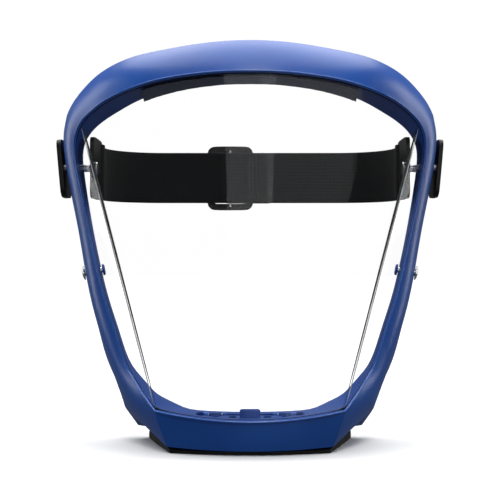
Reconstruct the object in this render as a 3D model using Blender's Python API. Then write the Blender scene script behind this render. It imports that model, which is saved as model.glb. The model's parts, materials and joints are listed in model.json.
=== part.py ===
"""Full-face safety shield: a blue two-part frame, a folded clear visor, a chin filter and a head strap.

The shield stands on its chin.  X is to the wearer's left, -Y is the front and +Z is up.
Lengths in the tables are millimetres; MM turns them into metres.
"""
import math

import bmesh
import bpy
from mathutils import Matrix, Vector

MM = 0.001

# Driving dimensions of the frame
WALL = 2.4              # wall of the front frame
REAR_WALL = 2.0         # wall of the rear frame
FIT = 0.4               # clearance between neighbouring pieces
STATION_STEPS = 3       # sections between two stations of a guide curve
VISOR_SHEET = 1.2       # thickness of the visor
VISOR_BACKSET = 3.5     # the visor's front face, behind the front lip
VISOR_TUCK = 0.4        # how far the visor reaches into its groove
GASKET_FRONT = 6.1      # the gasket's front face, behind the front lip
GASKET_BACK = 7.5
GASKET_WIDTH = 1.6
LIP_WIDTH = 1.3         # flat front of the lip, before the wall turns back
KNEE_OUT = 0.60         # crown of the outer wall: where its curve is pulled to, of lip to crest
KNEE_BACK = 0.28
REAR_BACKSET = 8.1      # front edge of the rear frame, behind the front lip

# Driving dimensions of the head strap
WEBBING_WIDTH = 38.0
WEBBING_THICKNESS = 1.6
STRAP_HEIGHT = 177.0    # middle of the webbing above the floor
STRAP_BACK = 168.0      # depth of the strap's rear run
STRAP_SIDE = 105.0      # half the distance between the strap's side runs
STRAP_BEND = 40.0       # radius of the strap's corners
PIVOT_DEPTH = 78.0      # where the strap's clips turn on the frame
PIVOT_RADIUS = 2.5
SLIDER_AT = -15.0
SLIDER_WIDTH = 35.0
SLIDER_HEIGHT = 48.6
SLIDER_THICKNESS = 3.0
SLIDER_BAR_RADIUS = 1.4
LOOP_RADIUS = SLIDER_BAR_RADIUS + FIT + WEBBING_THICKNESS / 2
BAR_DEPTH = STRAP_BACK + WEBBING_THICKNESS + FIT + LOOP_RADIUS
BACK_FACE = BAR_DEPTH + SLIDER_THICKNESS / 2 + FIT + WEBBING_THICKNESS
ORIGIN_DEPTH = BACK_FACE / 2    # the guide curves start at the lip; the origin is under the middle

# Driving dimensions of the chin
FOOT_TOP = 2.3
TRAY_HALF_WIDTH = 33.0
TRAY_FRONT = 19.0
TRAY_BACK = 45.0
TRAY_FLOOR = 6.4
TRAY_TOP = 16.0
RIVET_HEIGHT = 107.5

# Guide curves of one half of the frame, from the middle of the brow round to the middle of the chin.
# RIM is the inner edge of the front lip, CREST the outermost line, SKIRT the rear edge of the outer
# wall and THROAT the rear edge of the inner wall.
RIM = [
    (0, 0, 228), (25, 2.2, 227.3), (51, 9.5, 225), (70, 18.5, 221.5), (87, 30, 216.5), (99, 40, 210.5),
    (108.5, 49.5, 203), (113, 55, 192), (112, 56, 174), (104, 57, 136), (95, 54, 98), (86.5, 48, 73),
    (77, 39, 48), (66.5, 23.5, 35.5), (57, 10, 26), (0, 0, 21)]
CREST = [
    (0, 20, 251), (26, 22.5, 250), (54, 31, 247.2), (75.6, 39, 243.8), (93.8, 50, 237.6), (107, 60, 229),
    (118.2, 66, 216), (123.5, 69, 199), (121.4, 71, 174), (113.8, 71, 136), (106.2, 68, 95.5),
    (98.3, 62, 69.5), (90, 58, 46), (81, 56, 21), (50, 10.5, 4), (0, 1.5, 2.7)]
SKIRT = [
    (0, 52, 249), (27, 54, 248), (55, 60, 245), (77, 67, 240.5), (95, 75, 233.5), (108.5, 81, 225),
    (119, 86, 213), (124.5, 88, 198), (122.5, 88, 174), (115.5, 85, 136), (107.8, 80, 95),
    (100.3, 74, 69), (92.5, 70, 45), (73.5, 66, 7.5), (51, 66, 4), (0, 66, 2.7)]
THROAT = [
    (0, 50, 231.5), (26, 52, 230.5), (51, 58, 227), (72, 65, 221), (87, 73, 214.5), (99, 79, 208),
    (107.5, 84, 201), (112.5, 86, 191), (112, 86, 174), (105.5, 83, 136), (96.5, 78, 98), (87.5, 72, 72),
    (77.5, 66, 46.5), (61, 62, 28.5), (40, 61, 18.5), (0, 61, 17)]
TEMPLE_STATION = 6      # where the visor's crease starts
CORNER_STATION = 14     # where it ends, at the chin's corner
FIRST_STRAIGHT = 12     # the chin's facets are straight from here on


# ---------------------------------------------------------------- helpers
def on_curve(points, place):
    """The point of a guide curve at a station number, which may be fractional."""
    last = len(points) - 1
    low = min(int(place), last - 1)
    share = place - low
    a = Vector(points[low])
    b = Vector(points[low + 1])
    if low == last - 1:
        bow = (1 - share) ** 2
        return Vector((a.x * (1 - share), b.y + (a.y - b.y) * bow, b.z + (a.z - b.z) * bow))
    if low >= FIRST_STRAIGHT:
        return a.lerp(b, share)
    before = Vector(points[low - 1]) if low else Vector((-b.x, b.y, b.z))
    after = Vector(points[low + 2])
    return 0.5 * (2 * a + (b - before) * share + (2 * before - 5 * a + 4 * b - after) * share ** 2
                  + (3 * a - before - 3 * b + after) * share ** 3)


def mirrored(point):
    return Vector((-point.x, point.y, point.z))


def ring_places():
    """Station numbers of every section of one half, from brow to chin."""
    last = len(RIM) - 1
    places = []
    for station in range(last):
        for step in range(STATION_STEPS):
            places.append(station + step / STATION_STEPS)
    return places + [float(last)]


def outward(place):
    """Unit direction away from the face opening, square to the lip as seen from the front."""
    reach = 0.15
    ahead = on_curve(RIM, min(place + reach, len(RIM) - 1))
    behind = on_curve(RIM, max(place - reach, 0))
    along = ahead - behind
    return Vector((-along.z, 0, along.x)).normalized()


def new_object(name, mesh_maker, material):
    """An object from a bmesh in millimetres, faces outwards."""
    mesh_maker.normal_update()
    bmesh.ops.recalc_face_normals(mesh_maker, faces=mesh_maker.faces)
    bmesh.ops.translate(mesh_maker, vec=(0, -ORIGIN_DEPTH, 0), verts=mesh_maker.verts)
    bmesh.ops.scale(mesh_maker, vec=(MM, MM, MM), verts=mesh_maker.verts)
    mesh = bpy.data.meshes.new(name)
    mesh_maker.to_mesh(mesh)
    mesh_maker.free()
    mesh.materials.append(material)
    mesh.shade_smooth()
    mesh.set_sharp_from_angle(angle=math.radians(35))
    piece = bpy.data.objects.new(name, mesh)
    bpy.context.scene.collection.objects.link(piece)
    return piece


def plastic(name, colour, roughness, metallic=0.0, alpha=1.0):
    material = bpy.data.materials.new(name)
    material.use_nodes = True
    shader = material.node_tree.nodes["Principled BSDF"]
    shader.inputs["Base Color"].default_value = (*colour, 1.0)
    shader.inputs["Roughness"].default_value = roughness
    shader.inputs["Metallic"].default_value = metallic
    shader.inputs["Alpha"].default_value = alpha
    return material


def lofted(name, sections, material, closed=True):
    """A skin over section loops; an open run of sections gets a cap at each end."""
    work = bmesh.new()
    loops = [[work.verts.new(point) for point in section] for section in sections]
    count = len(loops[0])
    last = len(loops) if closed else len(loops) - 1
    for index in range(last):
        this = loops[index]
        following = loops[(index + 1) % len(loops)]
        for corner in range(count):
            beyond = (corner + 1) % count
            work.faces.new((this[corner], this[beyond], following[beyond], following[corner]))
    if not closed:
        work.faces.new(loops[0])
        work.faces.new(loops[-1])
    return new_object(name, work, material)


def full_ring(name, section_at, material):
    """Both halves of the frame from a function that gives the section at a station."""
    places = ring_places()
    right = [section_at(place) for place in places]
    left = [[mirrored(point) for point in section] for section in reversed(right[1:-1])]
    return lofted(name, right + left, material)


def slab(name, outline, low, high, material, turn=None):
    """An outline in the XY plane, raised from low to high; turn is a matrix applied afterwards."""
    work = bmesh.new()
    base = work.faces.new([work.verts.new((x, y, low)) for x, y in outline])
    grown = bmesh.ops.extrude_face_region(work, geom=[base])
    top = [item for item in grown["geom"] if isinstance(item, bmesh.types.BMVert)]
    bmesh.ops.translate(work, vec=(0, 0, high - low), verts=top)
    if turn:
        bmesh.ops.transform(work, matrix=turn, verts=work.verts)
    return new_object(name, work, material)


def rounded_box_outline(width, height, radius, steps=4):
    """A rectangle about the origin with round corners."""
    points = []
    for quarter, (side, end) in enumerate(((1, 1), (-1, 1), (-1, -1), (1, -1))):
        for step in range(steps + 1):
            angle = math.radians(90 * (quarter + step / steps))
            points.append((side * (width / 2 - radius) + radius * math.cos(angle),
                           end * (height / 2 - radius) + radius * math.sin(angle)))
    return points


def turned(name, profile, material, turn, sides=20):
    """A round piece spun about Z from a closed (radius, height) profile."""
    work = bmesh.new()
    rings = []
    for step in range(sides):
        angle = 2 * math.pi * step / sides
        rings.append([work.verts.new((r * math.cos(angle), r * math.sin(angle), z)) for r, z in profile])
    for index, ring in enumerate(rings):
        following = rings[(index + 1) % sides]
        for low in range(len(profile) - 1):
            work.faces.new((ring[low], following[low], following[low + 1], ring[low + 1]))
    bmesh.ops.remove_doubles(work, verts=work.verts, dist=0.0001)
    bmesh.ops.dissolve_degenerate(work, edges=work.edges, dist=0.0001)
    bmesh.ops.transform(work, matrix=turn, verts=work.verts)
    return new_object(name, work, material)


def cut(piece, cutter, operation="DIFFERENCE"):
    """Cut one object with another, which is then a hidden guide."""
    cutter.hide_render = True
    cutter.display_type = "WIRE"
    modifier = piece.modifiers.new("cut", "BOOLEAN")
    modifier.object = cutter
    modifier.operation = operation
    modifier.solver = "EXACT"
    return piece


# ---------------------------------------------------------------- frame
def front_walls(place):
    """Outer and inner line of the front frame's wall: flat lip, crowned front and outer wall."""
    rim = on_curve(RIM, place)
    crest = on_curve(CREST, place)
    skirt = on_curve(SKIRT, place)
    reach = crest - rim
    away = outward(place)
    edge = rim + away * LIP_WIDTH
    knee = edge + Vector((reach.x * KNEE_OUT, reach.y * KNEE_BACK, reach.z * KNEE_OUT))
    outer = [rim]
    for share in (0.0, 0.25, 0.5, 0.75, 1.0):
        outer.append(edge * (1 - share) ** 2 + knee * 2 * share * (1 - share) + crest * share ** 2)
    outer += [crest.lerp(skirt, 0.5), skirt]
    back = Vector((0, 1, 0))
    around = away.cross(back)
    inner = [rim + back * WALL]
    for index, point in enumerate(outer[2:], start=2):
        ahead = outer[min(index + 1, len(outer) - 1)]
        behind = outer[index - 1]
        inward = (ahead - behind).cross(around).normalized()
        if inward.dot(back - away) < 0:
            inward = -inward
        inner.append(point + inward * WALL)
    return outer, inner


def front_section(place):
    outer, inner = front_walls(place)
    return outer + inner[::-1]


def rear_section(place):
    """The rear frame: an inner wall behind the visor and a flange out to the skirt."""
    rim = on_curve(RIM, place)
    throat = on_curve(THROAT, place)
    away = outward(place)
    back = Vector((0, 1, 0))
    start = rim + back * REAR_BACKSET + away * 0.5
    outer, inner = front_walls(place)
    end = inner[-1] + (inner[-1] - outer[-1]).normalized() * 3 * FIT
    forward = (inner[-2] - inner[-1]).normalized()
    return [start, throat, end, end + forward * REAR_WALL,
            throat + (away - back) * REAR_WALL, start + away * REAR_WALL]


def gasket_section(place):
    rim = on_curve(RIM, place)
    away = outward(place)
    return [rim + Vector((0, depth, 0)) + away * reach
            for depth, reach in ((GASKET_FRONT, 0.3), (GASKET_BACK, 0.3),
                                 (GASKET_BACK, 0.3 + GASKET_WIDTH), (GASKET_FRONT, 0.3 + GASKET_WIDTH))]


def visor(material):
    """A ruled front panel between brow and chin, and a tapering side panel beyond each crease."""
    panel_columns = 14
    side_columns = 3
    rows = 12
    backset = Vector((0, VISOR_BACKSET, 0))
    half = []
    for row in range(rows + 1):
        share = row / rows
        line = []
        for column in range(panel_columns + 1):
            across = column / panel_columns
            top = on_curve(RIM, across * TEMPLE_STATION)
            low = on_curve(RIM, len(RIM) - 1 - across)
            line.append(top.lerp(low, share))
        fold = line[-1]
        rail_place = TEMPLE_STATION + share * (CORNER_STATION - TEMPLE_STATION)
        rail = on_curve(RIM, rail_place)
        line += [fold.lerp(rail, column / side_columns) for column in range(1, side_columns + 1)]
        line.append(rail + outward(rail_place) * VISOR_TUCK)
        half.append([point + backset for point in line])
    for edge, place_of in ((0, lambda across: across * TEMPLE_STATION),
                           (-1, lambda across: len(RIM) - 1 - across)):
        line = []
        for column, point in enumerate(half[edge]):
            across = min(column / panel_columns, 1)
            tucked = point + outward(place_of(across)) * VISOR_TUCK
            line.append(half[edge][-1] if column > panel_columns else tucked)
        line[panel_columns] = half[edge][-1]
        half.insert(0 if edge == 0 else len(half), line)
    work = bmesh.new()
    grid = [[work.verts.new(mirrored(point)) for point in line[:0:-1]]
            + [work.verts.new(point) for point in line] for line in half]
    for upper, lower in zip(grid, grid[1:]):
        for column in range(len(upper) - 1):
            work.faces.new((upper[column], upper[column + 1], lower[column + 1], lower[column]))
    bmesh.ops.remove_doubles(work, verts=work.verts, dist=0.01)
    bmesh.ops.dissolve_degenerate(work, edges=work.edges, dist=0.01)
    piece = new_object("visor", work, material)
    sheet = piece.modifiers.new("sheet", "SOLIDIFY")
    sheet.thickness = VISOR_SHEET * MM
    sheet.offset = 1.0
    sheet.use_even_offset = True
    return piece


def forehead_pad(material):
    """A foam strip under the brow, with the brow's own curve."""
    reach_front = 9.0
    thickness = 3.2
    last_place = 2.9
    steps = 8
    sections = []
    for step in range(-steps, steps + 1):
        place = abs(step) / steps * last_place
        rim = on_curve(RIM, place) + Vector((0, reach_front, 0))
        throat = on_curve(THROAT, place) - Vector((0, 1, 0))
        down = -outward(place)
        loop = [rim + down * FIT, throat + down * FIT,
                throat + down * thickness, rim + down * (thickness - 1.6)]
        sections.append([mirrored(point) for point in loop] if step < 0 else loop)
    return lofted("forehead_pad", sections, material, closed=False)


def chin_foot(material):
    """A rubber ring under the chin; its middle is open for the air."""
    half_outer = [(20, 4.5, 0), (48.5, 10.5, 0), (58, 36, 2.8), (66, 61, 2.8), (46, 62, 0)]
    half_inner = [(18, 11, 0), (43, 16, 0), (50, 36, 0.6), (58, 54, 0.6), (43, 54, 0)]
    work = bmesh.new()
    rings = []
    for half, raised in ((half_outer, False), (half_outer, True), (half_inner, True), (half_inner, False)):
        line = half + [(-x, y, rise) for x, y, rise in reversed(half)]
        rings.append([work.verts.new((x, y, FOOT_TOP + rise if raised else 0)) for x, y, rise in line])
    for ring, following in zip(rings, rings[1:] + rings[:1]):
        for corner in range(len(ring)):
            beyond = (corner + 1) % len(ring)
            work.faces.new((ring[corner], ring[beyond], following[beyond], following[corner]))
    return new_object("chin_foot", work, material)


def disc_profile(radius, low, high, edge=0.0):
    return [(0, low), (radius, low), (radius, high - edge), (radius - edge, high), (0, high)]


def across(x, y, z):
    """A matrix that turns an outline into the YZ plane, so that a slab grows along +X."""
    return Matrix.Translation((x, y, z)) @ Matrix(((0, 0, 1, 0), (1, 0, 0, 0), (0, 1, 0, 0), (0, 0, 0, 1)))


def tombstone(radius, drop, turn=0.0, steps=6):
    """A round-topped outline about the origin, drop deep below it, turned by an angle."""
    points = [(radius * math.cos(math.pi * s / steps), radius * math.sin(math.pi * s / steps))
              for s in range(steps + 1)]
    points += [(-radius, -drop), (radius, -drop)]
    c = math.cos(turn)
    s = math.sin(turn)
    return [(x * c - y * s, x * s + y * c) for x, y in points]


# ---------------------------------------------------------------- chin filter
def chin_filter(front, rear, blue, deep_blue, felt, steel):
    """A window in the rear frame, a tray hung in it, the pad, and a cover hinged at its back."""
    width = 2 * TRAY_HALF_WIDTH
    depth = TRAY_BACK - TRAY_FRONT
    tray_wall = 1.8
    corner = 4.0
    middle = Matrix.Translation((0, (TRAY_FRONT + TRAY_BACK) / 2, 0))
    window = rounded_box_outline(width + 2 * FIT, depth + 2 * FIT, corner + FIT)
    window_low = 8.0
    window_high = 30.0
    cut(rear, slab("window_cutter", window, window_low, window_high, blue, middle))
    tray = slab("filter_tray", rounded_box_outline(width, depth, corner), TRAY_FLOOR, TRAY_TOP, blue, middle)
    hollow = rounded_box_outline(width - 2 * tray_wall, depth - 2 * tray_wall, corner - tray_wall)
    cut(tray, slab("tray_hollow", hollow, TRAY_FLOOR + tray_wall, TRAY_TOP + 5, blue, middle))
    pad_radius = 18.0
    pad_straight = 10.5
    pad_low = TRAY_FLOOR + tray_wall + FIT
    pad_outline = [(pad_radius * math.cos(math.radians(a)) + (pad_straight if a < 90 else -pad_straight),
                    TRAY_BACK - tray_wall - 1 - pad_radius * math.sin(math.radians(a)))
                   for a in range(0, 181, 12)]
    pad_thickness = 2.6
    slab("filter_pad", pad_outline, pad_low, pad_low + pad_thickness, felt)

    cover_low = TRAY_TOP + FIT
    cover_high = cover_low + 1.8
    cover_depth = depth - 6
    cover_place = Matrix.Translation((0, TRAY_FRONT + cover_depth / 2, 0))
    cover = slab("filter_cover", rounded_box_outline(width, cover_depth, 3.5), cover_low, cover_high,
                 deep_blue, cover_place)
    tab_outline = [(-6.3, -3.2), (6.3, -3.2), (5.2, 2), (-5.2, 2)]
    tab = slab("tab_guide", tab_outline, cover_low + 0.5, cover_high + 6.4, blue,
               Matrix.Translation((0, TRAY_FRONT + 4, 0)))
    cut(cover, tab, "UNION")
    vent = rounded_box_outline(5, 13, 2.4, steps=2)
    vent_pitch = 11.0
    for index in range(5):
        at = middle @ Matrix.Translation(((index - 2) * vent_pitch, -1.5, 0))
        cut(tray, slab(f"tray_vent_{index}", vent, 0, pad_low, blue, at))
        cut(front, slab(f"chin_vent_{index}", vent, 0, TRAY_FLOOR - 0.5, blue, at))
        cut(cover, slab(f"cover_vent_{index}", vent, TRAY_TOP, cover_high + 1, blue, at))

    knuckle_radius = 1.8
    bore = 1.25
    pin_depth = TRAY_BACK - 2.4
    pin_height = cover_low + knuckle_radius
    knuckle_arm = 5.0
    ear_drop = 3.0
    half_knuckle = 4.0
    ear_gap = 0.4
    ear_width = 3.0
    for side, word in ((-1, "right"), (1, "left")):
        at = across(side * 22.0, pin_depth, pin_height)
        arm = tombstone(knuckle_radius, knuckle_arm, -math.pi / 2)
        cut(cover, slab(f"knuckle_{word}", arm, -half_knuckle, half_knuckle, blue, at), "UNION")
        ear = tombstone(knuckle_radius, ear_drop)
        start = half_knuckle + ear_gap
        for name, low in (("inner", start), ("outer", -start - ear_width)):
            guide = slab(f"ear_{name}_{word}", ear, low, low + ear_width, blue, at)
            cut(tray, guide, "UNION")
        reach = start + ear_width
        hole = turned(f"pin_bore_{word}", disc_profile(bore, -reach - 1, reach + 1), blue, at, 12)
        cut(cover, hole)
        cut(tray, hole)
        turned(f"cover_pin_{word}", disc_profile(bore - 0.3, -reach, reach, 0.2), steel, at, 12)


# ---------------------------------------------------------------- rivets
def rivets(front, rear, chrome, deep_blue):
    """One rivet in each rail, through both frames, with a moulded cap over its tail."""
    share_of_wall = 0.35
    share_of_throat = 0.78
    station = float(TEMPLE_STATION)
    while on_curve(CREST, station).z > RIVET_HEIGHT:
        station += 0.01
    wall = on_curve(CREST, station).lerp(on_curve(SKIRT, station), share_of_wall)
    inner = on_curve(RIM, station).lerp(on_curve(THROAT, station), share_of_throat)
    inner_slope = on_curve(THROAT, station) - on_curve(RIM, station)
    slope = (on_curve(SKIRT, station) - on_curve(CREST, station)).normalized() + inner_slope.normalized()
    along = on_curve(CREST, station + 0.1) - on_curve(CREST, station - 0.1)
    normal = along.cross(slope).normalized()
    if normal.x < 0:
        normal = -normal
    length = (wall - inner).dot(normal)
    shank = 2.0
    seat = 0.5
    far = -length - 1.0
    head = [(4.8, seat), (4.7, seat + 0.6), (3.9, seat + 1.2), (2.2, seat + 1.6), (0, seat + 1.7)]
    body = [(0, far - 0.6), (shank, far - 0.6), (shank, seat)] + head
    bore = shank + 0.35
    cap = [(0, far - 1.8), (2.9, far - 1.8), (3.8, far - 1.2), (3.8, far), (bore, far), (bore, far - 0.9),
           (0, far - 0.9)]
    for side, word in ((-1, "right"), (1, "left")):
        facing = Vector((side * normal.x, normal.y, normal.z)).to_track_quat("Z", "Y")
        at = Matrix.Translation((side * wall.x, wall.y, wall.z)) @ facing.to_matrix().to_4x4()
        hole = turned(f"rivet_bore_{word}", disc_profile(bore, far - 3, 4), chrome, at, 16)
        cut(front, hole)
        cut(rear, hole)
        turned(f"rivet_{word}", body, chrome, at)
        turned(f"rivet_cap_{word}", cap, deep_blue, at)


# ---------------------------------------------------------------- head strap
def ribbon(name, path, thickness, low, high, material):
    """Webbing standing on edge: a path in the XY plane with a thickness, from low to high."""
    sides = ([], [])
    for index, point in enumerate(path):
        ahead = Vector(path[min(index + 1, len(path) - 1)])
        behind = Vector(path[max(index - 1, 0)])
        along = (ahead - behind).normalized()
        across_way = Vector((-along.y, along.x)) * thickness / 2
        sides[0].append(Vector(point) + across_way)
        sides[1].append(Vector(point) - across_way)
    sections = [[(a.x, a.y, low), (b.x, b.y, low), (b.x, b.y, high), (a.x, a.y, high)]
                for a, b in zip(*sides)]
    return lofted(name, sections, material, closed=False)


def arc(centre, radius, start, end, steps):
    """Points of an arc in degrees, both ends included."""
    return [(centre[0] + radius * math.cos(math.radians(start + (end - start) * s / steps)),
             centre[1] + radius * math.sin(math.radians(start + (end - start) * s / steps)))
            for s in range(steps + 1)]


def head_strap(front, rear, black_plastic, webbing, steel):
    """Clips that pivot on the temples, the webbing between them and the slider on it."""
    clip_thickness = 3.0
    clip_face = 123.8
    clip_lean = math.radians(5)
    clip_width = 26
    clip_height = 39
    plate_inner = 103.4
    plate_outer = 106.0
    plate_back = 110.5
    plate_front = PIVOT_DEPTH - 7
    plate_middle = (plate_front + plate_back) / 2
    plate_height = 41
    slot_width = 3.8
    slot_middle = 105.1
    bar_centre = ((plate_inner + plate_outer) / 2, 107.5)
    fold_starts = 113
    sides_meet = 120
    tail_ends = 130
    fold = (plate_outer - plate_inner) / 2 + FIT + WEBBING_THICKNESS / 2
    half_width = WEBBING_WIDTH / 2
    for side, word in ((-1, "right"), (1, "left")):
        tilt = Matrix.Translation((side * clip_face, PIVOT_DEPTH + 5, STRAP_HEIGHT)) @ Matrix.Rotation(
            side * clip_lean, 4, "Y") @ across(0, 0, 0)
        low, high = sorted((0, side * clip_thickness))
        clip = slab(f"strap_clip_{word}", rounded_box_outline(clip_width, clip_height, 6), low, high,
                    black_plastic, tilt)
        low, high = sorted((side * plate_inner, side * plate_outer))
        plate = slab(f"strap_plate_{word}", rounded_box_outline(plate_back - plate_front, plate_height, 5),
                     low, high, black_plastic, across(0, plate_middle, STRAP_HEIGHT + 0.5))
        slot = slab(f"slot_cutter_{word}", rounded_box_outline(slot_width, WEBBING_WIDTH + 1.6, 1.2, steps=2),
                    low - 2, high + 2, black_plastic, across(0, slot_middle, STRAP_HEIGHT))
        cut(plate, slot)
        at = across(0, PIVOT_DEPTH, STRAP_HEIGHT)
        low, high = sorted((side * (plate_inner - 5), side * (clip_face + 9)))
        hole = turned(f"pivot_bore_{word}", disc_profile(PIVOT_RADIUS + 0.35, low, high), steel, at, 16)
        for piece in (clip, plate, front, rear):
            cut(piece, hole)
        pin_out = clip_face + clip_thickness - 0.2
        pin_in = plate_inner - 0.4
        profile = [(0, pin_in - 1.2), (4.2, pin_in - 1.2), (4.4, pin_in - 0.8), (4.4, pin_in),
                   (PIVOT_RADIUS, pin_in), (PIVOT_RADIUS, pin_out), (PIVOT_RADIUS - 0.5, pin_out + 0.4),
                   (0, pin_out + 0.5)]
        if side < 0:
            profile = [(radius, -height) for radius, height in reversed(profile)]
        turned(f"strap_pin_{word}", profile, steel, at, 16)

    bend = (STRAP_SIDE - STRAP_BEND, STRAP_BACK - STRAP_BEND)
    half = [(0, STRAP_BACK)]
    half += arc(bend, STRAP_BEND, 90, 0, 12)
    half += [(STRAP_SIDE - 0.6, sides_meet), (bar_centre[0] - fold, fold_starts)]
    half += arc(bar_centre, fold, 180, 360, 10)
    half += [(bar_centre[0] + fold, fold_starts), (STRAP_SIDE + 2.4, sides_meet),
             (STRAP_SIDE + 2.3, tail_ends)]
    path = [(-x, y) for x, y in half[:0:-1]] + half
    low = STRAP_HEIGHT - half_width
    high = STRAP_HEIGHT + half_width
    ribbon("strap", path, WEBBING_THICKNESS, low, high, webbing)

    # The slider: a rim, its middle bar and the sewn end of webbing that is looped on the bar.
    rim = 4.9
    upright = Matrix.Translation((SLIDER_AT, BAR_DEPTH, STRAP_HEIGHT)) @ Matrix.Rotation(math.pi / 2, 4, "X")
    half_thick = SLIDER_THICKNESS / 2
    slider = slab("slider_frame", rounded_box_outline(SLIDER_WIDTH, SLIDER_HEIGHT, 6), -half_thick,
                  half_thick, black_plastic, upright)
    window = rounded_box_outline(SLIDER_WIDTH - 2 * rim, SLIDER_HEIGHT - 2 * rim, 2)
    cut(slider, slab("slider_window", window, -5, 5, black_plastic, upright))
    standing = Matrix.Translation((SLIDER_AT, BAR_DEPTH, STRAP_HEIGHT))
    half_bar = SLIDER_HEIGHT / 2 - rim + 1.8
    bore = disc_profile(SLIDER_BAR_RADIUS + 0.3, -half_bar - 0.3, half_bar + 0.3)
    cut(slider, turned("slider_bar_bore", bore, black_plastic, standing, 16))
    turned("slider_bar", disc_profile(SLIDER_BAR_RADIUS, -half_bar, half_bar, 0.2), steel, standing, 16)
    tab_back = BACK_FACE - WEBBING_THICKNESS / 2
    tab = [(SLIDER_AT + 30, tab_back), (SLIDER_AT + 14, tab_back), (SLIDER_AT + 7, tab_back - 0.2)]
    tab += arc((SLIDER_AT, BAR_DEPTH), LOOP_RADIUS, 75, 270, 12)
    tab += [(SLIDER_AT + 9, BAR_DEPTH - LOOP_RADIUS)]
    ribbon("strap_end", tab, WEBBING_THICKNESS, low, high, webbing)


def build():
    for old in list(bpy.data.objects):
        bpy.data.objects.remove(old)
    blue = plastic("blue_plastic", (0.016, 0.08, 0.35), 0.32)
    deep_blue = plastic("deep_blue_plastic", (0.012, 0.06, 0.27), 0.38)
    clear = plastic("clear_sheet", (0.92, 0.96, 0.97), 0.05, alpha=0.15)
    black_rubber = plastic("black_rubber", (0.01, 0.01, 0.012), 0.6)
    foam = plastic("grey_foam", (0.045, 0.047, 0.055), 0.9)
    chrome = plastic("chrome", (0.75, 0.76, 0.78), 0.12, metallic=1.0)
    steel = plastic("steel", (0.55, 0.56, 0.58), 0.25, metallic=1.0)
    black_plastic = plastic("black_plastic", (0.012, 0.012, 0.013), 0.35)
    webbing = plastic("black_webbing", (0.012, 0.013, 0.014), 0.85)
    felt = plastic("white_felt", (0.85, 0.85, 0.84), 0.95)

    front = full_ring("front_frame", front_section, blue)
    rear = full_ring("rear_frame", rear_section, deep_blue)
    full_ring("visor_gasket", gasket_section, black_rubber)
    visor(clear)
    forehead_pad(foam)
    chin_foot(black_rubber)
    chin_filter(front, rear, blue, deep_blue, felt, steel)
    rivets(front, rear, chrome, deep_blue)
    head_strap(front, rear, black_plastic, webbing, steel)


build()
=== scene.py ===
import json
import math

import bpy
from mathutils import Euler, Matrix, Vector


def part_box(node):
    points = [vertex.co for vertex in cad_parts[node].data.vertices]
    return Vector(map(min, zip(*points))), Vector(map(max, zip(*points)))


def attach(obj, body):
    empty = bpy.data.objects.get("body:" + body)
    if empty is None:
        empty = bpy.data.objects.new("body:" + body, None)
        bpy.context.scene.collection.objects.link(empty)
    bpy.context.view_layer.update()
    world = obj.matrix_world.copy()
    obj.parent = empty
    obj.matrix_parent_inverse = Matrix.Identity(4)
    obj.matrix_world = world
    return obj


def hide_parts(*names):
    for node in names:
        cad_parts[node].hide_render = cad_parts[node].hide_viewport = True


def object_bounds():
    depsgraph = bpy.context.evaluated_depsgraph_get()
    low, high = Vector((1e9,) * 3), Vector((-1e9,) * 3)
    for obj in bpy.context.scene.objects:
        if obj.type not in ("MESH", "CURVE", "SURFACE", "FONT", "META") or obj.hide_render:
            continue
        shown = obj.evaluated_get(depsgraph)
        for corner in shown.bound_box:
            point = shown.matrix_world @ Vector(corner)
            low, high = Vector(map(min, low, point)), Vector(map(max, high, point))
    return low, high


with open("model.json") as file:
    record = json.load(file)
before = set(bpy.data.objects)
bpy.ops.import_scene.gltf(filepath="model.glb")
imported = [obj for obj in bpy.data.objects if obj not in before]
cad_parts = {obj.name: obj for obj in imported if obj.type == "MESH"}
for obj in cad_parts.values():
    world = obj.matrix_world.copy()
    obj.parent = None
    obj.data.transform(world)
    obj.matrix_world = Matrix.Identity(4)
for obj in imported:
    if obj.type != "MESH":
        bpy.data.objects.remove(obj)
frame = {"nodes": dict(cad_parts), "record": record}

# %% [markdown]
# # A full-face safety shield
# The mechanical model is already loaded: a blue two-part frame, a folded visor, a chin filter and a
# head strap that swings at the temples. This script gives every piece its finish, and models again
# the soft and rounded pieces that the mechanical model only holds as plain solids.

cad_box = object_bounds()
MM = 0.001
print("size in mm:", [round((high - low) / MM, 1) for low, high in zip(*cad_box)])

# %% [markdown]
# ## Camera and light
# A shield like this is shown from straight in front, with the lens at about the middle of its height.
# A long lens keeps the chin and the strap behind it in scale. Soft white panels above and at both
# sides give plastic its broad highlights, and a pale floor shows where the rubber foot stands.

# %% Camera
camera_data = bpy.data.cameras.new("camera")
camera_data.lens = 73.0
camera_data.sensor_width = 36.0
camera = bpy.data.objects.new("camera", camera_data)
camera.location = (0.0, -0.688, 0.1225)
camera.rotation_euler = (math.radians(90), 0, 0)
bpy.context.scene.collection.objects.link(camera)
bpy.context.scene.camera = camera


# %% Lights
def light_panel(name, place, aim, size, watts, roll=0.0):
    data = bpy.data.lights.new(name, "AREA")
    data.shape = "RECTANGLE"
    data.size, data.size_y = size
    data.energy = watts
    lamp = bpy.data.objects.new(name, data)
    lamp.location = place
    facing = (Vector(aim) - Vector(place)).to_track_quat("-Z", "Y")
    lamp.rotation_euler = (facing @ Euler((0, 0, math.radians(roll))).to_quaternion()).to_euler()
    bpy.context.scene.collection.objects.link(lamp)
    return lamp


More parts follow.
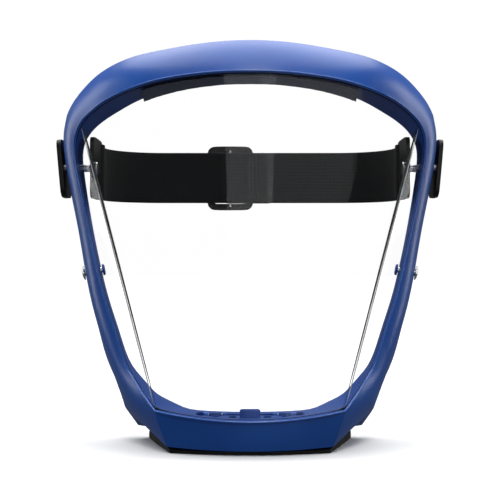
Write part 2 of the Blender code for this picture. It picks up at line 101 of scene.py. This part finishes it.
MIDDLE = (0, 0, 0.13)
light_panel("brow_panel", (0.05, -0.55, 0.85), (0, -0.05, 0.22), (0.17, 0.20), 1.7)
light_panel("left_panel", (-0.95, 0.30, 0.35), MIDDLE, (0.3, 0.9), 3.0)
light_panel("right_panel", (0.95, 0.30, 0.35), MIDDLE, (0.3, 0.9), 3.0)
light_panel("front_fill", (0, -1.6, 0.30), MIDDLE, (0.8, 0.5), 1.7)
window = light_panel("window", (1.0, -1.5, 0.55), MIDDLE, (1.7, 1.5), 6.0, roll=25)
window.visible_diffuse = False
sky = bpy.data.lights.new("sky", "SUN")
sky.energy = 3.7
sky.angle = math.radians(75)
sky_lamp = bpy.data.objects.new("sky", sky)
sky_lamp.rotation_euler = (math.radians(-16), 0, 0)
bpy.context.scene.collection.objects.link(sky_lamp)

# %% [markdown]
# The room is white behind the shield, but it lights the shield with about an eighth of that, as a
# white cyclorama does when only its far wall is flooded. Plastic then keeps its depth of colour.

# %% Room
ROOM_LIGHT = 0.13
ROOM_AS_SEEN = 1.02
world = bpy.data.worlds.new("studio")
bpy.context.scene.world = world
world.use_nodes = True
room = world.node_tree
background = room.nodes["Background"]
background.inputs["Color"].default_value = (1, 1, 1, 1)
paths = room.nodes.new("ShaderNodeLightPath")
strength = room.nodes.new("ShaderNodeMapRange")
strength.inputs["To Min"].default_value = ROOM_LIGHT
strength.inputs["To Max"].default_value = ROOM_AS_SEEN
room.links.new(paths.outputs["Is Camera Ray"], strength.inputs["Value"])
room.links.new(strength.outputs["Result"], background.inputs["Strength"])
bpy.context.scene.view_settings.view_transform = "Standard"


# %% [markdown]
# ## Writing materials as sums
# A material is easier to read as an expression than as a web of nodes. One small class wraps a node's
# output socket: adding or multiplying two of them makes the Math node, and `node` makes any other.

# %% A socket that can be added and multiplied
class Value:
    """A node's output, with Python's operators as Math nodes."""

    def __init__(self, recipe, socket):
        self.recipe = recipe
        self.socket = socket

    def _math(self, operation, first, second):
        return self.recipe.node("ShaderNodeMath", {"operation": operation}, {0: first, 1: second})

    def __add__(self, other):
        return self._math("ADD", self, other)

    def __radd__(self, other):
        return self._math("ADD", other, self)

    def __sub__(self, other):
        return self._math("SUBTRACT", self, other)

    def __rsub__(self, other):
        return self._math("SUBTRACT", other, self)

    def __mul__(self, other):
        return self._math("MULTIPLY", self, other)

    def __rmul__(self, other):
        return self._math("MULTIPLY", other, self)


class Recipe:
    """One material: a Principled shader, and the nodes that feed it."""

    def __init__(self, name, **constants):
        self.material = bpy.data.materials.new(name)
        self.material.use_nodes = True
        self.tree = self.material.node_tree
        self.shader = self.tree.nodes["Principled BSDF"]
        for words, amount in constants.items():
            socket = words.replace("_", " ").title().replace("Ior", "IOR")
            self.shader.inputs[socket].default_value = amount

    def node(self, kind, settings=None, inputs=None, output=0):
        made = self.tree.nodes.new(kind)
        for word, setting in (settings or {}).items():
            if word == "stops":
                ramp = made.color_ramp.elements
                while len(ramp) < len(setting):
                    ramp.new(0.5)
                for element, (position, colour) in zip(ramp, setting):
                    element.position = position
                    element.color = (*colour, 1.0)
            else:
                setattr(made, word, setting)
        for key, amount in (inputs or {}).items():
            if isinstance(amount, Value):
                self.tree.links.new(amount.socket, made.inputs[key])
            else:
                made.inputs[key].default_value = amount
        return Value(self, made.outputs[output])

    def feed(self, socket, amount):
        self.tree.links.new(amount.socket, self.shader.inputs[socket])

    def place(self):
        return self.node("ShaderNodeTexCoord", output=3)

    def noise(self, scale, detail=2.0, vector=None):
        return self.node("ShaderNodeTexNoise", None,
                         {"Vector": vector or self.place(), "Scale": scale, "Detail": detail})

    def colours(self, share, low, high, start=0.35, end=0.65):
        return self.node("ShaderNodeValToRGB", {"stops": [(start, low), (end, high)]}, {0: share})

    def bump(self, height, distance, strength=1.0):
        self.feed("Normal", self.node("ShaderNodeBump", None,
                                      {"Height": height, "Distance": distance, "Strength": strength}))


# %% [markdown]
# ## Moulded plastic
# The frame is injection-moulded. Its satin skin is a fine texture eroded into the steel mould, so it
# has a faint grain, roughness that drifts a little where the melt cooled unevenly, and hair scuffs.

# %% Blue plastics
def moulded(name, dark, light, roughness, coat=0.12, shine=0.5):
    recipe = Recipe(name, coat_roughness=0.2, coat_weight=coat, specular_ior_level=shine)
    drift = recipe.noise(18, 3)
    recipe.feed("Base Color", recipe.colours(drift, dark, light))
    scuffs = recipe.noise(900, 2)
    recipe.feed("Roughness", roughness + 0.10 * drift + 0.05 * scuffs)
    recipe.bump(recipe.noise(2600, 2), 0.00003, 0.5)
    return recipe.material


blue_plastic = moulded("blue_plastic", (0.0065, 0.082, 0.42), (0.0105, 0.104, 0.49), 0.27,
                       coat=0.10, shine=0.36)
# Deep blue is the frame's blue made darker; on the rear shell it is painted shade, the inner band in
# shadow.
deep_blue_plastic = moulded("deep_blue_plastic", (0.005, 0.052, 0.28), (0.008, 0.070, 0.34), 0.32,
                            coat=0.06, shine=0.36)
black_plastic = moulded("black_plastic", (0.003, 0.003, 0.0035), (0.006, 0.006, 0.007), 0.34,
                        coat=0.04, shine=0.25)

# %% Rubber and foam
rubber = Recipe("black_rubber", specular_ior_level=0.2)
rubber.feed("Base Color", rubber.colours(rubber.noise(60), (0.006, 0.006, 0.007), (0.013, 0.013, 0.015)))
rubber.feed("Roughness", 0.5 + 0.2 * rubber.noise(300))
rubber.bump(rubber.noise(1800), 0.00004, 0.6)
black_rubber = rubber.material

# The foam's bluish grey is partly a painted reflection laid into its colour, and the pits between the cell
# walls are darker: painted shade.
foam = Recipe("grey_foam")
cells = foam.node("ShaderNodeTexVoronoi", None, {"Vector": foam.place(), "Scale": 1400.0})
foam.feed("Base Color", foam.colours(cells, (0.050, 0.062, 0.095), (0.105, 0.125, 0.175), 0.1, 0.7))
foam.feed("Roughness", 0.85 + 0.1 * cells)
foam.bump(cells, 0.0002, 0.7)
grey_foam = foam.material


# %% Metals
def metal(name, colour, roughness, brush):
    recipe = Recipe(name, metallic=1.0)
    recipe.shader.inputs["Base Color"].default_value = (*colour, 1.0)
    streaks = recipe.noise(brush, 3)
    recipe.feed("Roughness", roughness + 0.12 * streaks)
    recipe.bump(streaks, 0.00002, 0.3)
    return recipe.material


chrome = metal("chrome", (0.80, 0.81, 0.83), 0.04, 400.0)
steel = metal("steel", (0.55, 0.56, 0.58), 0.22, 1500.0)

# %% Clear sheet
clear = Recipe("clear_sheet", roughness=0.03, metallic=1.0)
clear.shader.inputs["Base Color"].default_value = (0.95, 0.97, 0.98, 1.0)
facing = clear.node("ShaderNodeLayerWeight", None, {"Blend": 0.22}, output=0)
smear = clear.noise(30, 3)
through = clear.node("ShaderNodeBsdfTransparent", None, {"Color": (1.0, 1.0, 1.0, 1.0)})
surface = Value(clear, clear.shader.outputs[0])
share = 0.010 + 0.025 * facing + 0.005 * smear
mixed = clear.node("ShaderNodeMixShader", None, {0: share, 1: through, 2: surface})
clear.tree.links.new(mixed.socket, clear.tree.nodes["Material Output"].inputs["Surface"])
clear_sheet = clear.material

# %% Webbing and felt, before their own pieces are made
webbing = Recipe("black_webbing")
ribs = webbing.node("ShaderNodeTexWave", {"wave_type": "BANDS", "bands_direction": "Z"},
                    {"Vector": webbing.place(), "Scale": 180.0, "Distortion": 1.0})
# The ribs are darker in their hollows: painted shade.
webbing.feed("Base Color", webbing.colours(ribs, (0.006, 0.007, 0.008), (0.016, 0.017, 0.019)))
webbing.feed("Roughness", 0.72 + 0.15 * ribs)
webbing.bump(ribs, 0.00012, 0.8)
black_webbing = webbing.material

felt = Recipe("white_felt")
fibres = felt.noise(900, 4)
felt.feed("Base Color", felt.colours(fibres, (0.74, 0.74, 0.73), (0.88, 0.88, 0.87)))
felt.feed("Roughness", 0.88 + 0.08 * fibres)
felt.bump(fibres, 0.0002, 0.7)
white_felt = felt.material

# %% Each mechanical node takes the finish of its slot
finishes = {"blue_plastic": blue_plastic, "deep_blue_plastic": deep_blue_plastic,
            "black_plastic": black_plastic, "black_rubber": black_rubber, "grey_foam": grey_foam,
            "chrome": chrome, "steel": steel, "clear_sheet": clear_sheet,
            "black_webbing": black_webbing, "white_felt": white_felt}
for entry in frame["record"]["subparts"]:
    mesh = frame["nodes"][entry["node"]].data
    mesh.materials.clear()
    mesh.materials.append(finishes[entry["material_slot"]])

# %% [markdown]
# ## Rounded copies of the moulded parts
# A moulded edge is never sharp: the mould has a small radius everywhere. Each hard part is taken from
# its mechanical node, its triangles are merged and paired into quads, and its edges get a small
# rounded bevel. Subdivision then turns the few flat facets of a lofted ring into a smooth sweep,
# while the bevels hold the chin's flat faces apart.


# %% A helper for rounded copies
def deselect():
    if bpy.context.object and bpy.context.object.mode != "OBJECT":
        bpy.ops.object.mode_set(mode="OBJECT")
    bpy.ops.object.select_all(action="DESELECT")


def activate(piece):
    deselect()
    piece.select_set(True)
    bpy.context.view_layer.objects.active = piece


def rounded_copy(name, node, body, radius, crease_degrees, levels, material):
    """A node's own shape with merged faces, rounded edges and a subdivided skin."""
    source = frame["nodes"][node]
    piece = bpy.data.objects.new(name, source.data.copy())
    bpy.context.scene.collection.objects.link(piece)
    activate(piece)
    bpy.ops.object.mode_set(mode="EDIT")
    bpy.ops.mesh.select_all(action="SELECT")
    bpy.ops.mesh.remove_doubles(threshold=0.00001)
    bpy.ops.mesh.tris_convert_to_quads(face_threshold=math.radians(50), shape_threshold=math.radians(180))
    bpy.ops.object.mode_set(mode="OBJECT")
    bevel = piece.modifiers.new("edges", "BEVEL")
    bevel.width = radius
    bevel.segments = 2
    bevel.limit_method = "ANGLE"
    bevel.angle_limit = math.radians(crease_degrees)
    bpy.ops.object.modifier_apply(modifier="edges")
    if levels:
        skin = piece.modifiers.new("skin", "SUBSURF")
        skin.levels = levels
        skin.render_levels = levels
        bpy.ops.object.modifier_apply(modifier="skin")
    bpy.ops.object.shade_smooth_by_angle(angle=math.radians(40))
    piece.data.materials.clear()
    piece.data.materials.append(material)
    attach(piece, body)
    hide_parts(node)
    print(name, "faces:", len(piece.data.polygons))
    return piece


# %% Frame shells
rounded_copy("front_shell", "front_frame", "frame", 0.0005, 24, 1, blue_plastic)
# The rear shell's deeper blue is painted shade.
rounded_copy("rear_shell", "rear_frame", "frame", 0.0004, 30, 1, deep_blue_plastic)

# %% [markdown]
# The clips, slider, rubber foot and the chin's tray and cover are moulded too, each with the radius
# that its size allows. The rivets are headed in a die, so their domes are subdivided until smooth.

# %% Small moulded and metal parts
for side in ("left", "right"):
    rounded_copy(f"clip_shell_{side}", f"strap_clip_{side}", "headband", 0.0011, 30, 1,
                 black_plastic)
    rounded_copy(f"plate_shell_{side}", f"strap_plate_{side}", "headband", 0.0007, 30, 1,
                 black_plastic)
    rounded_copy(f"rivet_dome_{side}", f"rivet_{side}", "frame", 0.0002, 35, 1, chrome)
    rounded_copy(f"rivet_cover_{side}", f"rivet_cap_{side}", "frame", 0.0002, 35, 1, deep_blue_plastic)
rounded_copy("slider_shell", "slider_frame", "slider", 0.0006, 30, 1, black_plastic)
rounded_copy("foot_rubber", "chin_foot", "frame", 0.0005, 25, 1, black_rubber)
rounded_copy("tray_shell", "filter_tray", "frame", 0.00025, 40, 0, blue_plastic)
rounded_copy("cover_shell", "filter_cover", "cover", 0.0003, 40, 0, deep_blue_plastic)


# %% [markdown]
# ## Elastic webbing
# The strap is woven polyester over rubber threads, 38 mm wide and 1.6 mm thick, with rounded
# selvedges. A flat band can't be remeshed without losing its edges, so it is swept directly: a
# rounded section is carried along the strap's route. The length and the width go into a UV map in
# metres, and the weave is drawn on that, so that the ribs follow every bend.

# %% Weave on the band's own UV map
def woven(name, low, high):
    recipe = Recipe(name, roughness=0.8, specular_ior_level=0.1, sheen_weight=0.02)
    along = recipe.node("ShaderNodeUVMap", {"uv_map": "cloth"})
    axes = recipe.node("ShaderNodeSeparateXYZ", None, {0: along})
    length = Value(recipe, axes.socket.node.outputs[0])
    width = Value(recipe, axes.socket.node.outputs[1])

    def wave(amount, pitch):
        return recipe.node("ShaderNodeMath", {"operation": "SINE"}, {0: amount * (2 * math.pi / pitch)})

    rib_pitch = 0.0011
    pick_pitch = 0.0007
    ribs = wave(width, rib_pitch)
    picks = wave(length + 0.35 * pick_pitch * ribs, pick_pitch)
    height = 0.5 + 0.3 * ribs + 0.2 * picks * ribs
    wear = recipe.noise(55, 3)
    # The colour follows the weave's height, darker in the valleys between ribs: painted shade, plus random
    # tone.
    recipe.feed("Base Color", recipe.colours(0.6 * height + 0.4 * wear, low, high, 0.2, 0.8))
    recipe.feed("Roughness", 0.70 + 0.16 * height)
    recipe.bump(height, 0.00014, 0.6)
    return recipe.material


black_webbing = woven("black_webbing_weave", (0.0035, 0.0038, 0.0042), (0.0105, 0.0115, 0.0125))


# %% Sweeping a band
def smooth_route(points, spacing):
    """Points at an even spacing along a polyline, eased at its corners."""
    spots = [Vector(p) for p in points]
    route = [spots[0]]
    for start, end in zip(spots, spots[1:]):
        pieces = max(1, round((end - start).length / spacing))
        route += [start.lerp(end, step / pieces) for step in range(1, pieces + 1)]
    for _ in range(3):
        eased = [(a + 2 * b + c) / 4 for a, b, c in zip(route, route[1:], route[2:])]
        route = [route[0]] + eased + [route[-1]]
    return route


def band(name, route, thickness, low, high, body, material, ripple=0.0):
    """A strip of webbing standing on edge along a route in the XY plane."""
    rows = 12
    steps = len(route) - 1
    deselect()
    bpy.ops.mesh.primitive_grid_add(x_subdivisions=steps, y_subdivisions=rows, size=1.0)
    piece = bpy.context.object
    piece.name = name
    travelled = [0.0]
    for behind, ahead in zip(route, route[1:]):
        travelled.append(travelled[-1] + (ahead - behind).length)
    for point in piece.data.vertices:
        index = round((point.co.x + 0.5) * steps)
        height = point.co.y + 0.5
        along = (route[min(index + 1, steps)] - route[max(index - 1, 0)]).normalized()
        phase = travelled[index]
        sway = ripple * abs(height - 0.5) * (math.sin(phase / 0.021) + 0.6 * math.sin(phase / 0.0083 + 1.3))
        point.co = (route[index].x - along.y * sway, route[index].y + along.x * sway,
                    low + (high - low) * height)
    cloth = piece.data.uv_layers[0]
    cloth.name = "cloth"
    for corner in piece.data.loops:
        u, v = cloth.data[corner.index].uv
        cloth.data[corner.index].uv = (travelled[round(u * steps)], v * (high - low))
    activate(piece)
    sheet = piece.modifiers.new("thickness", "SOLIDIFY")
    sheet.thickness = thickness
    sheet.offset = 0.0
    bpy.ops.object.modifier_apply(modifier="thickness")
    selvedge = piece.modifiers.new("selvedge", "BEVEL")
    selvedge.width = thickness * 0.38
    selvedge.segments = 3
    selvedge.limit_method = "ANGLE"
    selvedge.angle_limit = math.radians(60)
    bpy.ops.object.modifier_apply(modifier="selvedge")
    bpy.ops.object.mode_set(mode="EDIT")
    bpy.ops.mesh.select_all(action="SELECT")
    bpy.ops.mesh.normals_make_consistent(inside=False)
    bpy.ops.object.mode_set(mode="OBJECT")
    bpy.ops.object.shade_smooth_by_angle(angle=math.radians(50))
    piece.data.materials.append(material)
    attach(piece, body)
    print(name, "length in mm:", round(travelled[-1] / MM), "faces:", len(piece.data.polygons))
    return piece


def arc(centre, radius, start, end, steps=12):
    turns = [math.radians(start + (end - start) * step / steps) for step in range(steps + 1)]
    return [(centre[0] + radius * math.cos(turn), centre[1] + radius * math.sin(turn)) for turn in turns]


# %% The strap and its end loops
strap_low, strap_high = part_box("strap")
plate_low, plate_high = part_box("strap_plate_left")
THICKNESS = 1.6 * MM
strap_back = strap_high[1] - THICKNESS / 2
bend_radius = 40 * MM
strap_side = 105 * MM
plate_middle = (plate_low[0] + plate_high[0]) / 2
fold_radius = (plate_high[0] - plate_low[0]) / 2 + 0.4 * MM + THICKNESS / 2
fold_depth = plate_high[1] - 3.0 * MM
fold_starts = fold_depth + 5.5 * MM
sides_meet = fold_depth + 12.5 * MM
tail_offset = 2.1 * MM
bend = (strap_side - bend_radius, strap_back - bend_radius)
half_route = [(0, strap_back)] + arc(bend, bend_radius, 90, 0, 16)
half_route += [(strap_side - 0.6 * MM, sides_meet), (plate_middle - fold_radius, fold_starts)]
half_route += arc((plate_middle, fold_depth), fold_radius, 180, 360, 10)
half_route += [(plate_middle + fold_radius, fold_starts), (strap_side + 2.2 * MM, sides_meet),
               (strap_side + tail_offset, fold_depth + 22.0 * MM)]
full_route = [(-x, y) for x, y in half_route[:0:-1]] + half_route
strap = band("strap_webbing", smooth_route(full_route, 2.2 * MM), THICKNESS, strap_low[2], strap_high[2],
             "headband", black_webbing, ripple=0.25 * MM)
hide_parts("strap")

# %% The loop on the slider's bar and the sewn fold in front of it
end_low, end_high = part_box("strap_end")
bar_low, bar_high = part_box("slider_bar")
bar = ((bar_low[0] + bar_high[0]) / 2, (bar_low[1] + bar_high[1]) / 2)
loop_radius = (bar_high[0] - bar_low[0]) / 2 + 0.4 * MM + THICKNESS / 2
tail_depth = end_high[1] - THICKNESS / 2
tail = [(end_high[0], tail_depth), (bar[0] + 14 * MM, tail_depth), (bar[0] + 7 * MM, tail_depth - 0.2 * MM)]
tail += arc(bar, loop_radius, 75, 270) + [(bar[0] + 9 * MM, bar[1] - loop_radius)]
loop = band("strap_loop", smooth_route(tail, 1.2 * MM), THICKNESS, end_low[2], end_high[2], "slider",
            black_webbing)
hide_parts("strap_end")
fold_thickness = 1.2 * MM
fold_gap = 0.35 * MM
fold_curl = 0.25 * MM
fold_plane = strap_back - THICKNESS / 2 - fold_gap - fold_thickness / 2
fold_route = [(bar[0] - 8.2 * MM, fold_plane + fold_curl), (bar[0] - 7.2 * MM, fold_plane),
              (bar[0] + 19 * MM, fold_plane), (bar[0] + 20 * MM, fold_plane + fold_curl)]
band("sewn_fold", smooth_route(fold_route, 1.2 * MM), fold_thickness, strap_low[2] + 0.3 * MM,
     strap_high[2] - 0.3 * MM, "slider", black_webbing)


# %% [markdown]
# ## Stitching
# Each doubled end of the webbing is closed with two rows of lockstitch. One stitch is a small bead
# sunk into the cloth, made once and copied up the row.

# %% Rows of stitches
thread = Recipe("sewing_thread", roughness=0.6)
thread.feed("Base Color", thread.colours(thread.noise(2500), (0.010, 0.011, 0.012), (0.030, 0.032, 0.035)))
thread.bump(thread.noise(6000), 0.00004, 0.5)


def stitch_rows(name, spots, body):
    """Beads at the given places, each a small eight-sided ball stretched upwards, in one mesh."""
    deselect()
    bpy.ops.mesh.primitive_uv_sphere_add(segments=8, ring_count=6, radius=0.5 * MM)
    bead = bpy.context.object
    bead.data.transform(Matrix.Diagonal((0.8, 0.7, 2.0, 1.0)))
    beads = []
    for spot in spots:
        copy = bpy.data.objects.new(name, bead.data.copy())
        copy.data.transform(Matrix.Translation(spot))
        bpy.context.scene.collection.objects.link(copy)
        beads.append(copy)
    bpy.data.objects.remove(bead)
    activate(beads[0])
    for copy in beads:
        copy.select_set(True)
    bpy.ops.object.join()
    piece = bpy.context.object
    piece.name = name
    bpy.ops.object.shade_smooth()
    piece.data.materials.clear()
    piece.data.materials.append(thread.material)
    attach(piece, body)
    return piece


def row_heights(pitch=2.9 * MM, margin=2.6 * MM):
    count = int((strap_high[2] - strap_low[2] - 2 * margin) / pitch)
    return [strap_low[2] + margin + pitch * (step + 0.5) for step in range(count)]


fold_face = fold_plane - fold_thickness / 2
stitch_rows("fold_stitches", [(bar[0] + offset * MM, fold_face, z) for offset in (14.5, 17.0)
                              for z in row_heights()], "slider")
tail_face = end_high[1]
stitch_rows("tail_stitches", [(end_high[0] - offset * MM, tail_face, z) for offset in (3.0, 5.5)
                              for z in row_heights()], "slider")
for side, word in ((-1, "right"), (1, "left")):
    outer = strap_side + tail_offset + THICKNESS / 2
    spots = [(side * outer, fold_depth + offset * MM, z) for offset in (16.0, 19.0) for z in row_heights()]
    stitch_rows(f"strap_stitches_{word}", spots, "headband")

# %% [markdown]
# ## Foam and felt
# The forehead rests on a strip of closed-cell foam, and the chin's filter is a pad of pressed felt.
# Both are soft and cut from sheet, so each is remeshed finely and swollen a little with a cloth
# simulation under slight pressure: the cut edges round over and the faces crown.

# %% Swollen pads
def soft_pad(name, node, voxel, shrink, cap, material):
    piece = bpy.data.objects.new(name, frame["nodes"][node].data.copy())
    bpy.context.scene.collection.objects.link(piece)
    activate(piece)
    remesh = piece.modifiers.new("voxels", "REMESH")
    remesh.mode = "VOXEL"
    remesh.voxel_size = voxel
    bpy.ops.object.modifier_apply(modifier="voxels")
    thinner = piece.modifiers.new("thinner", "DISPLACE")
    thinner.mid_level = 0.0
    thinner.strength = -shrink
    bpy.ops.object.modifier_apply(modifier="thinner")
    rest = [point.co.copy() for point in piece.data.vertices]
    cloth = piece.modifiers.new("swell", "CLOTH")
    cloth.settings.use_pressure = True
    cloth.settings.uniform_pressure_force = 4.0
    cloth.settings.effector_weights.gravity = 0.0
    for step in range(1, 13):
        bpy.context.scene.frame_set(step)
    bpy.ops.object.modifier_apply(modifier="swell")
    bpy.context.scene.frame_set(1)
    for point, start in zip(piece.data.vertices, rest):
        moved = point.co - start
        if moved.length > cap:
            point.co = start + moved.normalized() * cap
    skin = piece.modifiers.new("skin", "SUBSURF")
    skin.levels = 1
    skin.render_levels = 1
    bpy.ops.object.modifier_apply(modifier="skin")
    bpy.ops.object.shade_smooth()
    piece.data.materials.clear()
    piece.data.materials.append(material)
    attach(piece, "frame")
    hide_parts(node)
    print(name, "faces:", len(piece.data.polygons))
    return piece


soft_pad("forehead_foam", "forehead_pad", voxel=1.1 * MM, shrink=0.35 * MM, cap=0.3 * MM,
         material=grey_foam)
soft_pad("felt_pad", "filter_pad", voxel=0.8 * MM, shrink=0.30 * MM, cap=0.25 * MM,
         material=white_felt)

# %% [markdown]
# ## The folded visor
# The visor is one sheet of polycarbonate, scored down its two creases and folded back over them.
# From in front one flank of a score looks black and the other catches the room. Each crease is
# drawn as that pair, laid along the fold: a dark ridge, painted shade, and a bright one, painted
# reflection.

# %% Smooth visor and gasket
rounded_copy("visor_sheet", "visor", "frame", 0.00015, 50, 0, clear_sheet)
rounded_copy("gasket_bead", "visor_gasket", "frame", 0.0003, 40, 1, black_rubber)

# %% Score lines
# The dark ridge's colour is painted shade; the bright ridge's colour is a painted reflection of the room.
score_dark = Recipe("score_shadow", roughness=0.25)
score_dark.feed("Base Color", score_dark.colours(score_dark.noise(120), (0.010, 0.012, 0.014),
                                                 (0.060, 0.064, 0.070)))
score_reflection_paint = Recipe("score_painted_reflection", roughness=0.15)
score_reflection_paint.feed("Base Color", score_reflection_paint.colours(score_reflection_paint.noise(120), (0.55, 0.58, 0.62),
                                                     (0.85, 0.88, 0.92)))
VISOR_BACKSET = 3.5
FOLD_TOP = (108.5, 49.5, 203)
FOLD_FOOT = (57, 10, 26)
lip_front = cad_box[0][1]
CREASE_TOP, CREASE_FOOT = (Vector((x * MM, lip_front + (y + VISOR_BACKSET) * MM, z * MM))
                           for x, y, z in (FOLD_TOP, FOLD_FOOT))


def score_line(name, side, offset, top_width, foot_width, material):
    """A round ridge along one crease, its width changing from top to foot."""
    proud = 0.5 * MM
    end_gap = 0.015
    top = Vector((side * (CREASE_TOP.x + offset), CREASE_TOP.y - proud, CREASE_TOP.z))
    foot = Vector((side * (CREASE_FOOT.x + offset), CREASE_FOOT.y - proud, CREASE_FOOT.z))
    start = top.lerp(foot, end_gap)
    end = top.lerp(foot, 1 - end_gap)
    turn = (end - start).to_track_quat("Z", "Y")
    deselect()
    bpy.ops.mesh.primitive_circle_add(vertices=10, radius=0.5, fill_type="NGON", location=start,
                                      rotation=turn.to_euler())
    piece = bpy.context.object
    piece.name = name
    bpy.ops.object.transform_apply(location=False, rotation=True, scale=False)
    steps = 24
    bpy.ops.object.mode_set(mode="EDIT")
    for _ in range(steps):
        bpy.ops.mesh.extrude_region_move(TRANSFORM_OT_translate={"value": (end - start) / steps})
    bpy.ops.mesh.select_all(action="SELECT")
    bpy.ops.object.mode_set(mode="OBJECT")
    bpy.ops.object.transform_apply(location=True, rotation=False, scale=False)
    length = (end - start).length
    line = (end - start) / length
    for point in piece.data.vertices:
        along = (point.co - start).dot(line)
        middle = start + line * along
        share = along / length
        ease = min(1.0, 0.3 + 6 * share, 0.3 + 6 * (1 - share))
        point.co = middle + (point.co - middle) * ease * (top_width + (foot_width - top_width) * share)
    bpy.ops.object.mode_set(mode="EDIT")
    bpy.ops.mesh.select_all(action="SELECT")
    bpy.ops.mesh.normals_make_consistent(inside=False)
    bpy.ops.object.mode_set(mode="OBJECT")
    bpy.ops.object.shade_smooth()
    piece.data.materials.append(material)
    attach(piece, "frame")
    return piece


for side, word in ((-1, "right"), (1, "left")):
    score_line(f"score_shadow_{word}", side, offset=-0.7 * MM, top_width=1.9 * MM,
               foot_width=0.55 * MM, material=score_dark.material)
    # This bright ridge's colour is a painted reflection of the room.
    score_line(f"score_painted_reflection_{word}", side, offset=0.45 * MM, top_width=0.7 * MM,
               foot_width=0.9 * MM, material=score_reflection_paint.material)

# %% [markdown]
# ## The lip's bead
# A bright line runs round the opening. It is made as a fine round bead on the front lip, such as a
# moulder adds to hide a split line and stiffen an edge, glossier than the frame and painted a lighter
# blue, a painted highlight. Its path is the lip's own guide line, a smooth curve down to the rails'
# feet and straight edges round the chin.

# %% Guide line of the lip, half of it, in millimetres from the lip at the brow
GUIDE = [(0, 0, 228), (25, 2.2, 227.3), (51, 9.5, 225), (70, 18.5, 221.5), (87, 30, 216.5),
         (99, 40, 210.5), FOLD_TOP, (113, 55, 192), (112, 56, 174), (104, 57, 136), (95, 54, 98),
         (86.5, 48, 73), (77, 39, 48), (66.5, 23.5, 35.5), FOLD_FOOT, (0, 0, 21)]
FIRST_STRAIGHT = 12


def guide_point(station, share):
    """A point between two stations: a smooth spline, then straight edges, then the chin's bow."""
    a = Vector(GUIDE[station])
    b = Vector(GUIDE[station + 1])
    if station == len(GUIDE) - 2:
        bow = (1 - share) ** 2
        return Vector((a.x * (1 - share), b.y + (a.y - b.y) * bow, b.z + (a.z - b.z) * bow))
    if station >= FIRST_STRAIGHT:
        return a.lerp(b, share)
    before = Vector(GUIDE[station - 1]) if station else Vector((-b.x, b.y, b.z))
    after = Vector(GUIDE[station + 2])
    return 0.5 * (2 * a + (b - before) * share + (2 * before - 5 * a + 4 * b - after) * share ** 2
                  + (3 * a - before - 3 * b + after) * share ** 3)


# %% The bead itself
def ring_bead(name, outwards, forwards, radius, material):
    """A round bead along the guide line, moved away from the opening and forwards, in millimetres."""
    steps = 6
    half = [guide_point(station, step / steps)
            for station in range(len(GUIDE) - 1) for step in range(steps)]
    half.append(Vector(GUIDE[-1]))
    ring = half + [Vector((-p.x, p.y, p.z)) for p in half[-2:0:-1]]
    data = bpy.data.curves.new(name, "CURVE")
    data.dimensions = "3D"
    data.bevel_depth = radius * MM
    data.bevel_resolution = 3
    spline = data.splines.new("POLY")
    spline.points.add(len(ring) - 1)
    spline.use_cyclic_u = True
    for index, point in enumerate(ring):
        along = ring[(index + 1) % len(ring)] - ring[index - 1]
        away = Vector((-along.z, 0, along.x)).normalized()
        moved = (point + away * outwards + Vector((0, -forwards, 0))) * MM
        spline.points[index].co = (moved.x, moved.y + lip_front, moved.z, 1.0)
    curve = bpy.data.objects.new(name, data)
    bpy.context.scene.collection.objects.link(curve)
    activate(curve)
    bpy.ops.object.convert(target="MESH")
    piece = bpy.context.object
    bpy.ops.object.mode_set(mode="EDIT")
    bpy.ops.mesh.select_all(action="SELECT")
    bpy.ops.mesh.normals_make_consistent(inside=False)
    bpy.ops.object.mode_set(mode="OBJECT")
    bpy.ops.object.shade_smooth()
    piece.data.materials.clear()
    piece.data.materials.append(material)
    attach(piece, "frame")
    print(name, "faces:", len(piece.data.polygons))
    return piece


# Painted highlight: the bead's blue is lighter than the frame's; its low roughness and coat are real gloss.
bead_plastic_painted_highlight = moulded("bead_plastic_painted_highlight", (0.010, 0.095, 0.46), (0.016, 0.12, 0.52), 0.14, 0.3)
ring_bead("lip_bead", outwards=0.75, forwards=-0.25, radius=0.7, material=bead_plastic_painted_highlight)


# %% [markdown]
# ## Floor
# A large white sheet, so that only the soft shadow under the foot shows.

# %% Floor
bpy.ops.object.select_all(action="DESELECT")
bpy.ops.mesh.primitive_plane_add(size=8, location=(0, 0, 0))
floor = bpy.context.object
floor.name = "floor"
paper = Recipe("paper", roughness=0.9)
paper.feed("Base Color", paper.colours(paper.noise(3), (0.93, 0.93, 0.93), (0.96, 0.96, 0.96)))
floor.data.materials.append(paper.material)
floor.visible_diffuse = False
floor.visible_glossy = False
